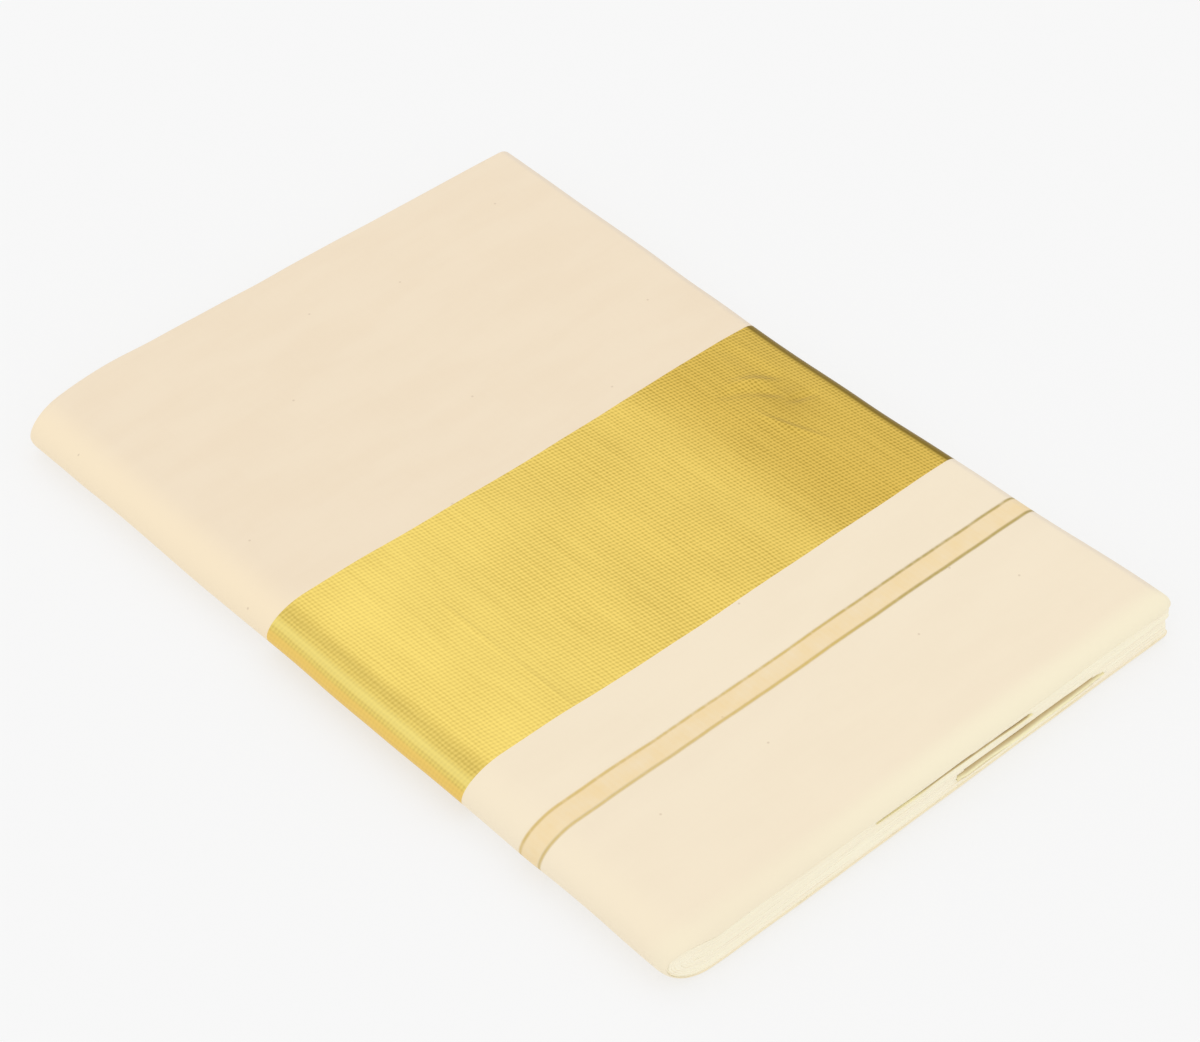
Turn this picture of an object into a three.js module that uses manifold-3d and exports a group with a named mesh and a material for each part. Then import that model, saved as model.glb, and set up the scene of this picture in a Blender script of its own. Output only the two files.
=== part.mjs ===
// A folded cotton saree with a woven gold band, lying flat as a rectangular pad.
// Millimetres, +Z up. X runs across the short side, with the round spine fold at -X and the
// open edge at +X. Y runs along the long side, with the layered front end at -Y.
// The origin is in the middle of the footprint, on the surface that the pad lies on.
import * as THREE from 'three';
import { mergeVertices } from 'three/addons/utils/BufferGeometryUtils.js';
import Module from 'manifold-3d';

const wasm = await Module();
wasm.setup();

// Overall sizes of the pad
const WIDTH = 284.1;
const LENGTH = 419.5;
const THICK = 22;
const MID_HEIGHT = 10.6;

// Cloth, seams and the slit between the upper and the lower half of the pad
const CLOTH = 1.2;
const SEAM_GAP = 0.3;
const SLIT_HALF = 0.3;

// The spine: how far the rounded fold reaches out from its axis, outermost and at the slit,
// and the share of the way round the section that it takes
const SPINE_REACH = 22;
const SLIT_REACH = 9;
const SPINE_X = -WIDTH / 2 + SPINE_REACH;
const SPINE_TURN = 0.3;
const TOP_END = (1 - SPINE_TURN) / 2;
const UNDER_START = 1 - TOP_END;

// How the outermost cloth rolls over the ends of the pad. reach is measured inwards from the
// end, and drop is how deep the roll goes before it tucks under. The lower half is set back
// from the open edge. Where two rolls meet, their outline is a rounded square to this power.
const CORNER_POWER = 4;
const ROLLS = {
  rightTop: { reach: 8, drop: 5, back: 0 },
  rightUnder: { reach: 4.5, drop: 4, back: 3 },
  frontTop: { reach: 6.5, drop: 5 },
  frontUnder: { reach: 5, drop: 4 },
  backTop: { reach: 5, drop: 5 },
  backUnder: { reach: 4.5, drop: 4 },
};

// The ends lean back above a low height: their top layers lie further in than their lowest
// ones by shift. Their corners are rounded by round at the spine, from as far in along X as
// roundIn beyond the spine's axis. fade is how far in along Y both die away.
const LEAN_FROM = 4;
const ENDS = [
  { end: -LENGTH / 2, inwards: 1, shift: 2.5, round: 8, roundIn: 12, fade: 50 },
  { end: LENGTH / 2, inwards: -1, shift: 1.5, round: 10, roundIn: 45, fade: 60 },
];

// The open edge is drawn in like a waist, deepest at this Y and less and less up to the
// spread on both sides of it. Its deepest place is rounded over the given length.
const WAIST = { depth: 5.5, y: -5, round: 20, spread: 205 };

// Where one stretch of the outermost cloth ends and the next begins, along Y
const BAND_BACK = 33.6;
const BAND_FRONT = -88.4;
const LINES_BACK = -120.9;
const LINES_FRONT = -134.9;

// Broad soft swells of the top, as the layers beneath make them
const SWELLS = [
  { x: -98, y: 0, spreadX: 27, spreadY: 400, rise: 1.1 },
  { x: 102, y: 50, spreadX: 30, spreadY: 120, rise: 0.9 },
  { x: -34, y: -95, spreadX: 46, spreadY: 80, rise: -0.9 },
  { x: 12, y: 20, spreadX: 34, spreadY: 110, rise: -0.6 },
  { x: -60, y: 120, spreadX: 40, spreadY: 36, rise: 0.5 },
  { x: 28, y: 150, spreadX: 60, spreadY: 30, rise: -0.5 },
];

// Packs of hidden layers that show as rounded edges below the roll of the outermost cloth,
// counted outwards from the slit. inner and outer are shares of the room that they have,
// round is how far each edge is rounded, and front, back and right are how far it lies in
// from the hidden skin at that end. The last row is the neck under the roll.
const PACKS = [
  { inner: 0.0, outer: 0.3, round: 1.0, front: -0.5, back: -0.2, right: -0.5 },
  { inner: 0.3, outer: 0.61, round: 1.0, front: -1.1, back: -0.7, right: 0.7 },
  { inner: 0.61, outer: 0.93, round: 1.0, front: -0.8, back: -1.0, right: -0.2 },
  { inner: 0.93, outer: 1.0, round: 0.0, front: 0.3, back: 0.3, right: 0.3 },
];
const PACK_STEPS = 4;

// Folded edges of the gold border that come out between the packs at the front end
const BORDER_FOLDS = [
  { name: 'upper_border_fold', left: -33, right: 55, height: 14.2, thick: 1.8, front: 0.1 },
  { name: 'lower_border_fold', left: 11, right: 98, height: 6.9, thick: 4.0, front: -0.2 },
];
const BORDER_DEPTH = 9;
const BORDER_STEPS = 6;

// Grid steps
const STEPS = { roll: 4, top: 12, spine: 10, under: 7, along: 12 };
const TINY = 1e-6;

const CREAM = { color: 0xf0e2c8, roughness: 0.92, metalness: 0.0 };
const PALE = { color: 0xf1e0bb, roughness: 0.9, metalness: 0.0 };
const GOLD = { color: 0xd9b64e, roughness: 0.38, metalness: 0.75 };

const mix = (a, b, share) => a + (b - a) * share;
const clamp01 = (value) => Math.min(1, Math.max(0, value));
const smooth = (value) => {
  const share = clamp01(value);
  return share * share * (3 - 2 * share);
};

// Height of the pad's top above the surface that it lies on
function topHeight(x, y) {
  return SWELLS.reduce((height, swell) => {
    const across = (x - swell.x) / swell.spreadX;
    const along = (y - swell.y) / swell.spreadY;
    return height + swell.rise * Math.exp(-across * across - along * along);
  }, THICK);
}

// Moves a point in along Y near an end, by its height and by how far round the spine it is,
// and in along X towards the open edge, for the waist
function shapeEnds(point) {
  const height = Math.max(0, (point.z - LEAN_FROM) / (THICK - LEAN_FROM));
  const atEdge = clamp01(point.x / (WIDTH / 2));
  const waist = WAIST.depth * clamp01(1 - Math.hypot(point.y - WAIST.y, WAIST.round) / WAIST.spread);
  const waisted = point.clone();
  waisted.x -= waist * atEdge * atEdge;
  return ENDS.reduce((moved, { end, inwards, shift, round, roundIn, fade }) => {
    const weight = smooth(1 - ((point.y - end) * inwards) / fade);
    const atSpine = clamp01((SPINE_X + roundIn - point.x) / (SPINE_REACH + roundIn));
    moved.y += inwards * weight * (shift * height + round * atSpine ** 3);
    return moved;
  }, waisted);
}

// The pad is folded round an axis at half height. x is the place along a flat half, turn
// runs round the spine from 0 on top to 1 below, and out is the share of the way from the
// axis to the outermost cloth.
function foldPoint(x, y, turn, out) {
  const angle = Math.PI * turn;
  const lift = Math.cos(angle);
  const half = lift > 0 ? topHeight(x, y) - MID_HEIGHT : MID_HEIGHT;
  const reach = mix(SLIT_REACH, SPINE_REACH, out) * Math.sin(angle);
  return shapeEnds(new THREE.Vector3(x - reach, y, MID_HEIGHT + half * out * lift));
}

// How far over an end's roll each grid line lies, at even angles, from its end inwards
function rollStations() {
  const stations = [];
  for (let step = STEPS.roll; step > 0; step -= 1) {
    stations.push(Math.sin((Math.PI / 2) * (step / STEPS.roll)));
  }
  return stations;
}

// Grid lines round the fold: over is how far over the roll at the right end they lie, and
// place is the way round from the right end of the top to that of the underside
function roundStations() {
  const flat = (from, to, steps, first) => {
    const list = [];
    for (let step = first; step <= steps; step += 1) {
      list.push({ over: 0, place: mix(from, to, step / steps) });
    }
    return list;
  };
  return [
    ...rollStations().map((over) => ({ over, place: 0 })),
    ...flat(0, TOP_END, STEPS.top, 0),
    ...flat(TOP_END, UNDER_START, STEPS.spine, 1),
    ...flat(UNDER_START, 1, STEPS.under, 1),
    ...rollStations().reverse().map((over) => ({ over, place: 1 })),
  ];
}

// Grid lines along Y. share is the way from the front to the back of the stretch, and a
// stretch that ends at the front or the back of the pad has the lines of its roll as well.
function alongStations({ from, to, steps }) {
  const list = [];
  if (from === null) rollStations().forEach((over) => list.push({ front: over, back: 0, share: 0 }));
  for (let step = 0; step <= steps; step += 1) list.push({ front: 0, back: 0, share: step / steps });
  if (to === null) rollStations().reverse().forEach((over) => list.push({ front: 0, back: over, share: 1 }));
  return list.map((line) => ({ ...line, from, to }));
}

// A point of the pad. inset is its depth below the outermost skin, share is 1 on that inset
// skin and 0 at the slit, and set moves an end inwards. A roll is a quarter of an ellipse,
// and where two rolls meet the corner is an eighth of an ellipsoid. Both keep their centres
// when they are inset, so a wall between two skins has one thickness.
function padPoint(round, along, { inset = 0, share = 1, set = 0 }) {
  const turn = clamp01((round.place - TOP_END) / SPINE_TURN);
  const under = smooth(turn);
  const side = round.place < 0.5 ? ROLLS.rightTop : ROLLS.rightUnder;
  const [topEnd, underEnd] = along.back > 0
    ? [ROLLS.backTop, ROLLS.backUnder]
    : [ROLLS.frontTop, ROLLS.frontUnder];
  const endDrop = mix(topEnd.drop, underEnd.drop, under);
  const overEnd = Math.max(along.front, along.back);
  const across = round.over * (1 - overEnd ** CORNER_POWER / 2) ** (1 / CORNER_POWER);
  const endwise = overEnd * (1 - round.over ** CORNER_POWER / 2) ** (1 / CORNER_POWER);
  const over = across ** CORNER_POWER + endwise ** CORNER_POWER;
  const drop = over > TINY ? mix(side.drop, endDrop, endwise ** CORNER_POWER / over) : endDrop;
  const depth = drop - (drop - inset) * Math.sqrt(Math.max(0, 1 - over ** (2 / CORNER_POWER)));

  const frontReach = mix(ROLLS.frontTop.reach, ROLLS.frontUnder.reach, under);
  const backReach = mix(ROLLS.backTop.reach, ROLLS.backUnder.reach, under);
  const flatFront = along.from ?? -LENGTH / 2 + frontReach;
  const flatBack = along.to ?? LENGTH / 2 - backReach;
  const endShift = along.back > 0
    ? (backReach - inset - set) * endwise
    : -(frontReach - inset - set) * endwise;
  const y = mix(flatFront, flatBack, along.share) + endShift;

  const flatShare = clamp01(Math.min(round.place, 1 - round.place) / TOP_END);
  const flatRight = WIDTH / 2 - side.back - side.reach;
  const x = mix(flatRight, SPINE_X, flatShare) + (side.reach - inset - set) * across;
  const out = mix(SLIT_HALF / MID_HEIGHT, 1 - depth / MID_HEIGHT, share);
  return foldPoint(x, y, turn, out);
}

// Joins the points of several grids that share their edges into one closed body
function closedBody(patches) {
  const positions = [];
  patches.forEach(({ grid, flip }) => {
    for (let i = 0; i + 1 < grid.length; i += 1) {
      for (let j = 0; j + 1 < grid[i].length; j += 1) {
        const [a, b, c, d] = [grid[i][j], grid[i + 1][j], grid[i + 1][j + 1], grid[i][j + 1]];
        const corners = flip ? [a, b, c, a, c, d] : [a, c, b, a, d, c];
        corners.forEach((point) => positions.push(point.x, point.y, point.z));
      }
    }
  });
  const geometry = new THREE.BufferGeometry();
  geometry.setAttribute('position', new THREE.Float32BufferAttribute(positions, 3));
  return mergeVertices(geometry, 1e-4);
}

const gridOf = (rows, columns, point) => rows.map((row) => columns.map((column) => point(row, column)));

// The rim that joins two grids along their four edges
function rimPatches(outer, inner) {
  const lastRow = outer.length - 1;
  const lastColumn = outer[0].length - 1;
  const column = (grid, index) => grid.map((row) => row[index]);
  return [
    { grid: [outer[0], inner[0]], flip: true },
    { grid: [outer[lastRow], inner[lastRow]], flip: false },
    { grid: [column(outer, 0), column(inner, 0)], flip: false },
    { grid: [column(outer, lastColumn), column(inner, lastColumn)], flip: true },
  ];
}

// A stretch of the outermost cloth: one wall over the top, round the spine and underneath
function stretchGeometry(span) {
  const rounds = roundStations();
  const alongs = alongStations(span);
  const outer = gridOf(rounds, alongs, (round, along) => padPoint(round, along, {}));
  const inner = gridOf(rounds, alongs, (round, along) => padPoint(round, along, { inset: CLOTH }));
  return closedBody([
    { grid: outer, flip: false },
    { grid: inner, flip: true },
    ...rimPatches(outer, inner),
  ]);
}

// How far in the edges of the packs lie at a share of the way out, as a row of rounded edges
function packSet(share, end) {
  const pack = PACKS.find((row) => share <= row.outer + TINY);
  const centred = (2 * (share - pack.inner)) / (pack.outer - pack.inner) - 1;
  return pack[end] + pack.round * (1 - Math.sqrt(Math.max(0, 1 - centred * centred)));
}

// The shares at which the side of the hidden layers has a grid line, at even angles round
// each pack's edge
function packShares() {
  const shares = [0];
  PACKS.forEach(({ inner, outer, round }) => {
    const steps = round > 0 ? PACK_STEPS : 1;
    for (let step = 1; step <= steps; step += 1) {
      shares.push(mix(inner, outer, (1 - Math.cos((Math.PI * step) / steps)) / 2));
    }
  });
  return shares;
}

// The hidden layers: one folded body, smooth where the outermost cloth lies on it and
// layered along its front, back and right edges
function hiddenLayersGeometry() {
  const inset = CLOTH + SEAM_GAP;
  const rounds = roundStations();
  const alongs = alongStations({ from: null, to: null, steps: STEPS.along });
  const shares = packShares();
  const endOf = (round, along) => {
    if (round.over > 1 - TINY) return 'right';
    return along.back > 0 ? 'back' : 'front';
  };
  const setAt = (round, along, share) => (share > 1 - TINY ? 0 : packSet(share, endOf(round, along)));
  const layerPoint = (round, along, share) => padPoint(round, along, {
    inset,
    share,
    set: setAt(round, along, share),
  });
  const skin = gridOf(rounds, alongs, (round, along) => padPoint(round, along, { inset }));
  const slit = gridOf(rounds, alongs, (round, along) => layerPoint(round, along, 0));
  const sideGrid = (lines) => shares.map(
    (share) => lines.map(([round, along]) => layerPoint(round, along, share)),
  );
  const alongSide = (round) => sideGrid(alongs.map((along) => [round, along]));
  const acrossEnd = (along) => sideGrid(rounds.map((round) => [round, along]));
  return closedBody([
    { grid: skin, flip: false },
    { grid: slit, flip: true },
    { grid: alongSide(rounds.at(0)), flip: false },
    { grid: alongSide(rounds.at(-1)), flip: true },
    { grid: acrossEnd(alongs.at(0)), flip: true },
    { grid: acrossEnd(alongs.at(-1)), flip: false },
  ]);
}

// A folded edge of the border: a flat strip of two thicknesses with a round front edge,
// which follows the front end. extra makes it larger all round, for the room that the
// layers leave it.
function borderFoldGeometry(fold, extra) {
  const half = fold.thick / 2 + extra;
  const depth = BORDER_DEPTH + extra;
  const outline = new THREE.Shape();
  outline.moveTo(depth, -half);
  outline.lineTo(depth, half);
  outline.lineTo(half - extra, half);
  outline.absarc(half - extra, 0, half, Math.PI / 2, (3 * Math.PI) / 2, false);
  outline.lineTo(depth, -half);
  const length = fold.right - fold.left + 2 * extra;
  const geometry = new THREE.ExtrudeGeometry(outline, {
    depth: length,
    steps: BORDER_STEPS,
    bevelEnabled: false,
    curveSegments: BORDER_STEPS,
  });
  // The outline is drawn in Y and Z, and the strip runs along X
  geometry.applyMatrix4(new THREE.Matrix4().makeBasis(
    new THREE.Vector3(0, 1, 0),
    new THREE.Vector3(0, 0, 1),
    new THREE.Vector3(1, 0, 0),
  ));
  geometry.translate(fold.left - extra, -LENGTH / 2 + fold.front, fold.height);
  const { position } = geometry.attributes;
  const point = new THREE.Vector3();
  for (let index = 0; index < position.count; index += 1) {
    point.fromBufferAttribute(position, index);
    position.setXYZ(index, ...shapeEnds(point).toArray());
  }
  return geometry;
}

// Joining and cutting of closed bodies
function solidOf(geometry) {
  const bare = geometry.clone();
  bare.deleteAttribute('normal');
  bare.deleteAttribute('uv');
  const merged = mergeVertices(bare, 1e-4);
  return new wasm.Manifold(new wasm.Mesh({
    numProp: 3,
    vertProperties: new Float32Array(merged.attributes.position.array),
    triVerts: new Uint32Array(merged.index.array),
  }));
}

function geometryOf(solid) {
  const mesh = solid.getMesh();
  const geometry = new THREE.BufferGeometry();
  geometry.setAttribute('position', new THREE.BufferAttribute(mesh.vertProperties, 3));
  geometry.setIndex(new THREE.BufferAttribute(mesh.triVerts, 1));
  return geometry;
}

function cutRoom(geometry, folds) {
  const cut = folds.reduce(
    (solid, fold) => solid.subtract(solidOf(borderFoldGeometry(fold, SEAM_GAP))),
    solidOf(geometry),
  );
  return geometryOf(cut);
}

const group = new THREE.Group();
function add(name, geometry, look) {
  const mesh = new THREE.Mesh(geometry, new THREE.MeshStandardMaterial(look));
  mesh.name = name;
  group.add(mesh);
}

const halfSeam = SEAM_GAP / 2;
const STRETCHES = [
  { name: 'back_stretch', from: BAND_BACK + halfSeam, to: null, steps: 7, look: CREAM },
  { name: 'gold_band_stretch', from: BAND_FRONT + halfSeam, to: BAND_BACK - halfSeam, steps: 4, look: GOLD },
  { name: 'middle_stretch', from: LINES_BACK + halfSeam, to: BAND_FRONT - halfSeam, steps: 1, look: CREAM },
  { name: 'lined_stretch', from: LINES_FRONT + halfSeam, to: LINES_BACK - halfSeam, steps: 1, look: PALE },
  { name: 'front_stretch', from: null, to: LINES_FRONT - halfSeam, steps: 3, look: CREAM },
];
add('hidden_layers', cutRoom(hiddenLayersGeometry(), BORDER_FOLDS), CREAM);
STRETCHES.forEach((stretch) => add(stretch.name, stretchGeometry(stretch), stretch.look));
BORDER_FOLDS.forEach((fold) => add(fold.name, borderFoldGeometry(fold, 0), GOLD));

export default group;
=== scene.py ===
"""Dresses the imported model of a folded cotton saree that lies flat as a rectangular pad.

The outermost cloth is five stretches of one woven sheet, which goes over the top, round the spine fold and
underneath. The folded layers show at the ends and along the open edge, with two gold border edges between
them at the front end. Everything is in metres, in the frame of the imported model: X runs across the short
side with the round spine fold at -X, Y runs along the long side with the layered front end at -Y, and Z
is up.
"""
import logging
import math
from dataclasses import dataclass
from enum import Enum
from typing import ClassVar, NamedTuple

import bpy
import numpy as np
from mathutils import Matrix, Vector


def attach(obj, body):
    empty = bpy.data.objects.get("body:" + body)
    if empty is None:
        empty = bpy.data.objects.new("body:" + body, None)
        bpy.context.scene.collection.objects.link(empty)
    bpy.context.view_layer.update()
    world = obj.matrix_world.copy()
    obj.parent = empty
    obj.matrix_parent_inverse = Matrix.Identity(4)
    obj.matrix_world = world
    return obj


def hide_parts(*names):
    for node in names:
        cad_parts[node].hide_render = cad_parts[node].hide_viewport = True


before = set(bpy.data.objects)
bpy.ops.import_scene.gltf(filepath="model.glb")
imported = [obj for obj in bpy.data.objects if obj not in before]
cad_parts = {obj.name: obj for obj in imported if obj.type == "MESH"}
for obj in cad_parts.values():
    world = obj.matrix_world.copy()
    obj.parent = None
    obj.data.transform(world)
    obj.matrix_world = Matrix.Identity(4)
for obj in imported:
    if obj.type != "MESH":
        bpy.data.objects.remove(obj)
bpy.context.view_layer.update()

LOG = logging.getLogger("saree")
CLOTH_MAP = "cloth"
BODY = "root"
WELD_DIGITS = 7
SHARP_ANGLE = math.radians(50.0)
TINY = 1e-9
ARC_POINTS = 241
# Share of a border edge's thickness above its middle where its painted groove shade begins.
TURN_SHARE = 0.2
WHITE = (1.0, 1.0, 1.0, 1.0)

Array = np.ndarray
Colour = tuple[float, float, float]
Triple = tuple[float, float, float]
Span = tuple[float, float]


class Slot(Enum):
    """Finishes that the record names."""

    COTTON = "cream_cotton"
    GOLD = "gold_weave"


class End(Enum):
    """Ends of the pad along Y, as the sign of the way out."""

    FRONT = -1
    BACK = 1


def smooth_step(value: Array) -> Array:
    """The cubic 3t² - 2t³ of t, which is the value held between 0 and 1."""
    share = np.clip(value, 0.0, 1.0)
    return share * share * (3.0 - 2.0 * share)


def blend(low: Array | float, high: Array | float, share: Array | float) -> Array:
    """Low plus the share of the way to high."""
    return low + (high - low) * share


class Roll(NamedTuple):
    """How the outermost cloth rolls over an end: inwards reach, depth, and how far back the end lies."""

    reach: float
    drop: float
    back: float = 0.0


class Swell(NamedTuple):
    """A broad soft rise of the pad's top."""

    x: float
    y: float
    spread_x: float
    spread_y: float
    rise: float


class Lean(NamedTuple):
    """How an end leans back above a low height, and rounds its spine corner from a place beyond the axis."""

    end: End
    shift: float
    round: float
    round_in: float
    fade: float


class Waist(NamedTuple):
    """How deep the open edge is drawn in at its middle, how far that is rounded, and how far it spreads."""

    depth: float
    y: float
    round: float
    spread: float


@dataclass(frozen=True)
class Crease:
    """A soft ridge, or a trough where its rise is below zero, between two points of the cloth.

    Across its line it is a bell curve. Along its line it fades in and out, and grows and shrinks unevenly.
    """

    start: tuple[float, float]
    stop: tuple[float, float]
    width: float
    rise: float
    bow: float = 0.0
    evenness: ClassVar[float] = 3.0
    uneven_rate: ClassVar[float] = 7.0
    phase_rate: ClassVar[float] = 1000.0
    fade_power: ClassVar[float] = 0.8

    def height(self, around: Array, along: Array) -> Array:
        """Works out how far the crease lifts the cloth.

        The distance from the bowed line goes into a bell curve, which is multiplied by the fade of a half
        sine wave and by one plus a third of a slower wave.

        Args:
            around: places on the cloth round the fold.
            along: places on the cloth along Y.

        Returns:
            The lift at each place.
        """
        step_u, step_v = self.stop[0] - self.start[0], self.stop[1] - self.start[1]
        length = math.hypot(step_u, step_v)
        from_u, from_v = around - self.start[0], along - self.start[1]
        share = np.clip((from_u * step_u + from_v * step_v) / length**2, 0.0, 1.0)
        side = (from_v * step_u - from_u * step_v) / length - self.bow * 4.0 * share * (1.0 - share)
        phase = self.phase_rate * (self.start[0] - self.stop[1])
        uneven = 1.0 + np.sin(self.uneven_rate * share + phase) / self.evenness
        fade = np.sin(np.pi * share) ** self.fade_power
        return self.rise * uneven * fade * np.exp(-((side / self.width) ** 2))


class RoundLines(NamedTuple):
    """Grid lines round the fold: how far over the roll of the open edge, and the place on the way round."""

    over: Array
    place: Array


class AlongLines(NamedTuple):
    """Grid lines along Y: how far over the roll of which end, and the share of the stretch's length."""

    over: Array
    end: Array
    share: Array
    start: float | None
    stop: float | None


@dataclass(frozen=True)
class PadForm:
    """The form of the whole pad, as a map from places on the folded cloth to points."""

    width: float = 0.2841
    length: float = 0.4195
    thick: float = 0.022
    mid_height: float = 0.0106
    slit_half: float = 0.00004
    spine_reach: float = 0.022
    slit_reach: float = 0.009
    spine_turn: float = 0.3
    lean_from: float = 0.004
    corner_power: float = 4.0
    spine_crisp: float = 0.75
    right_top: Roll = Roll(0.008, 0.005)
    right_under: Roll = Roll(0.0045, 0.004, back=0.003)
    front_top: Roll = Roll(0.0065, 0.005)
    front_under: Roll = Roll(0.0045, 0.0034)
    back_top: Roll = Roll(0.005, 0.005)
    back_under: Roll = Roll(0.0045, 0.004)
    leans: tuple[Lean, ...] = (
        Lean(End.FRONT, shift=0.0025, round=0.006, round_in=0.012, fade=0.050),
        Lean(End.BACK, shift=0.0015, round=0.009, round_in=0.045, fade=0.060),
    )
    waist: Waist = Waist(depth=0.0055, y=-0.005, round=0.020, spread=0.205)
    swells: tuple[Swell, ...] = (
        Swell(-0.098, 0.000, 0.027, 0.400, 0.0011),
        Swell(0.102, 0.050, 0.030, 0.120, 0.0009),
        Swell(-0.034, -0.095, 0.046, 0.080, -0.0009),
        Swell(0.012, 0.020, 0.034, 0.110, -0.0006),
        Swell(-0.060, 0.120, 0.040, 0.036, 0.0005),
        Swell(0.028, 0.150, 0.060, 0.030, -0.0005),
    )

    @property
    def spine_x(self) -> float:
        """Where the spine's axis lies along X."""
        return -self.width / 2 + self.spine_reach

    @property
    def top_end(self) -> float:
        """The place on the way round where the top ends and the spine begins."""
        return (1.0 - self.spine_turn) / 2

    def flat_right(self, roll: Roll) -> float:
        """Where the roll of the open edge begins."""
        return self.width / 2 - roll.back - roll.reach

    def top_height(self, x: Array, y: Array) -> Array:
        """Thickness plus each swell's rise times a bell curve of the distance from its middle."""
        height = np.full(np.broadcast_shapes(np.shape(x), np.shape(y)), self.thick)
        for swell in self.swells:
            across = (x - swell.x) / swell.spread_x
            along = (y - swell.y) / swell.spread_y
            height = height + swell.rise * np.exp(-(across**2) - along**2)
        return height

    def shape_ends(self, x: Array, y: Array, z: Array) -> Array:
        """Moves points in along Y near the ends, and in along X towards the open edge.

        Each end's weight is a smooth step that falls from one at the end to nothing at the fade. It
        multiplies the shift times the height's share, plus the round times the cube of the share of the
        way out from where the rounding starts. Along X the waist's depth, which falls in proportion to
        the softened distance from its middle, is multiplied by the square of the way to the open edge.

        Args:
            x, y, z: the points' coordinates.

        Returns:
            The points, with their coordinates on the last axis.
        """
        height = np.maximum(0.0, (z - self.lean_from) / (self.thick - self.lean_from))
        at_edge = np.clip(x / (self.width / 2), 0.0, 1.0)
        nearness = 1.0 - np.hypot(y - self.waist.y, self.waist.round) / self.waist.spread
        waisted = x - self.waist.depth * np.clip(nearness, 0.0, 1.0) * at_edge**2
        moved = y + np.zeros_like(x + z)
        for lean in self.leans:
            way_out = lean.end.value
            weight = smooth_step(1.0 - (way_out * self.length / 2 - moved) * way_out / lean.fade)
            rounding_width = self.spine_reach + lean.round_in
            at_spine = np.clip((self.spine_x + lean.round_in - x) / rounding_width, 0.0, 1.0)
            moved = moved - way_out * weight * (lean.shift * height + lean.round * at_spine**3)
        return np.stack(np.broadcast_arrays(waisted, moved, z), axis=-1)

    def fold(self, x: Array, y: Array, turn: Array, out: Array) -> Array:
        """Bends a flat place round the spine.

        The angle is half a turn times the share of the way round the spine. The height is the middle's
        plus the half thickness times the share outwards times the angle's cosine, and the reach beyond
        the spine's axis is an ellipse's, which grows from the slit to the outermost cloth.

        Args:
            x, y: the place along a flat half.
            turn: the share of the way round the spine, 0 on top and 1 below.
            out: the share of the way from the middle to the outermost cloth.

        Returns:
            The points, with their coordinates on the last axis.
        """
        lift = np.cos(np.pi * turn)
        half = np.where(lift > 0.0, self.top_height(x, y) - self.mid_height, self.mid_height)
        reach = blend(self.slit_reach, self.spine_reach, out) * np.sin(np.pi * turn)
        return self.shape_ends(x - reach, y, self.mid_height + half * out * lift)

    def points(
        self,
        rounds: RoundLines,
        alongs: AlongLines,
        inset: Array | float = 0.0,
        share: Array | float = 1.0,
        recess: Array | float = 0.0,
    ) -> Array:
        """Maps grid lines round the fold and along Y to points of the pad.

        A roll is a quarter of an ellipse. Where two rolls meet, both shares over the rolls are laid on a
        quarter of a rounded square first, whose outline has the corner's power. Round the spine the end
        rolls are shallower by the crisp share times the sine of the turn.

        Args:
            rounds: grid lines round the fold, on the first axis.
            alongs: grid lines along Y, on the second axis.
            inset: depth below the outermost skin.
            share: 1 on that inset skin and 0 at the slit between the halves.
            recess: how far an end is moved inwards.

        Returns:
            Points, with the grid on the first two axes.
        """
        over, place = rounds.over[:, None], rounds.place[:, None]
        over_end, end = alongs.over[None, :], alongs.end[None, :]
        turn = np.clip((place - self.top_end) / self.spine_turn, 0.0, 1.0)
        under = smooth_step(turn)
        on_top, at_back = place < 0.5, end > 0
        side_reach = np.where(on_top, self.right_top.reach, self.right_under.reach)
        side_drop = np.where(on_top, self.right_top.drop, self.right_under.drop)
        front_reach = blend(self.front_top.reach, self.front_under.reach, under)
        back_reach = blend(self.back_top.reach, self.back_under.reach, under)
        front_drop = blend(self.front_top.drop, self.front_under.drop, under)
        back_drop = blend(self.back_top.drop, self.back_under.drop, under)
        end_drop = np.where(at_back, back_drop, front_drop) * (1.0 - self.spine_crisp * np.sin(np.pi * turn))

        power = self.corner_power
        across = over * (1.0 - over_end**power / 2) ** (1.0 / power)
        endwise = over_end * (1.0 - over**power / 2) ** (1.0 / power)
        rolled = across**power + endwise**power
        end_part = np.where(rolled > TINY, endwise**power / np.maximum(rolled, TINY), 1.0)
        drop = blend(side_drop, end_drop, end_part)
        depth = drop - (drop - inset) * np.sqrt(np.maximum(0.0, 1.0 - rolled ** (2.0 / power)))

        flat_front = -self.length / 2 + front_reach if alongs.start is None else alongs.start
        flat_back = self.length / 2 - back_reach if alongs.stop is None else alongs.stop
        end_reach = np.where(at_back, back_reach, -front_reach)
        end_sign = np.where(at_back, 1.0, -1.0)
        flat_y = blend(flat_front, flat_back, alongs.share[None, :])
        y = flat_y + (end_reach - end_sign * (inset + recess)) * endwise

        flat_share = np.clip(np.minimum(place, 1.0 - place) / self.top_end, 0.0, 1.0)
        flat_right = np.where(on_top, self.flat_right(self.right_top), self.flat_right(self.right_under))
        x = blend(flat_right, self.spine_x, flat_share) + (side_reach - inset - recess) * across
        out = blend(self.slit_half / self.mid_height, 1.0 - depth / self.mid_height, share)
        return self.fold(x, y, turn + np.zeros_like(x), out)

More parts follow.
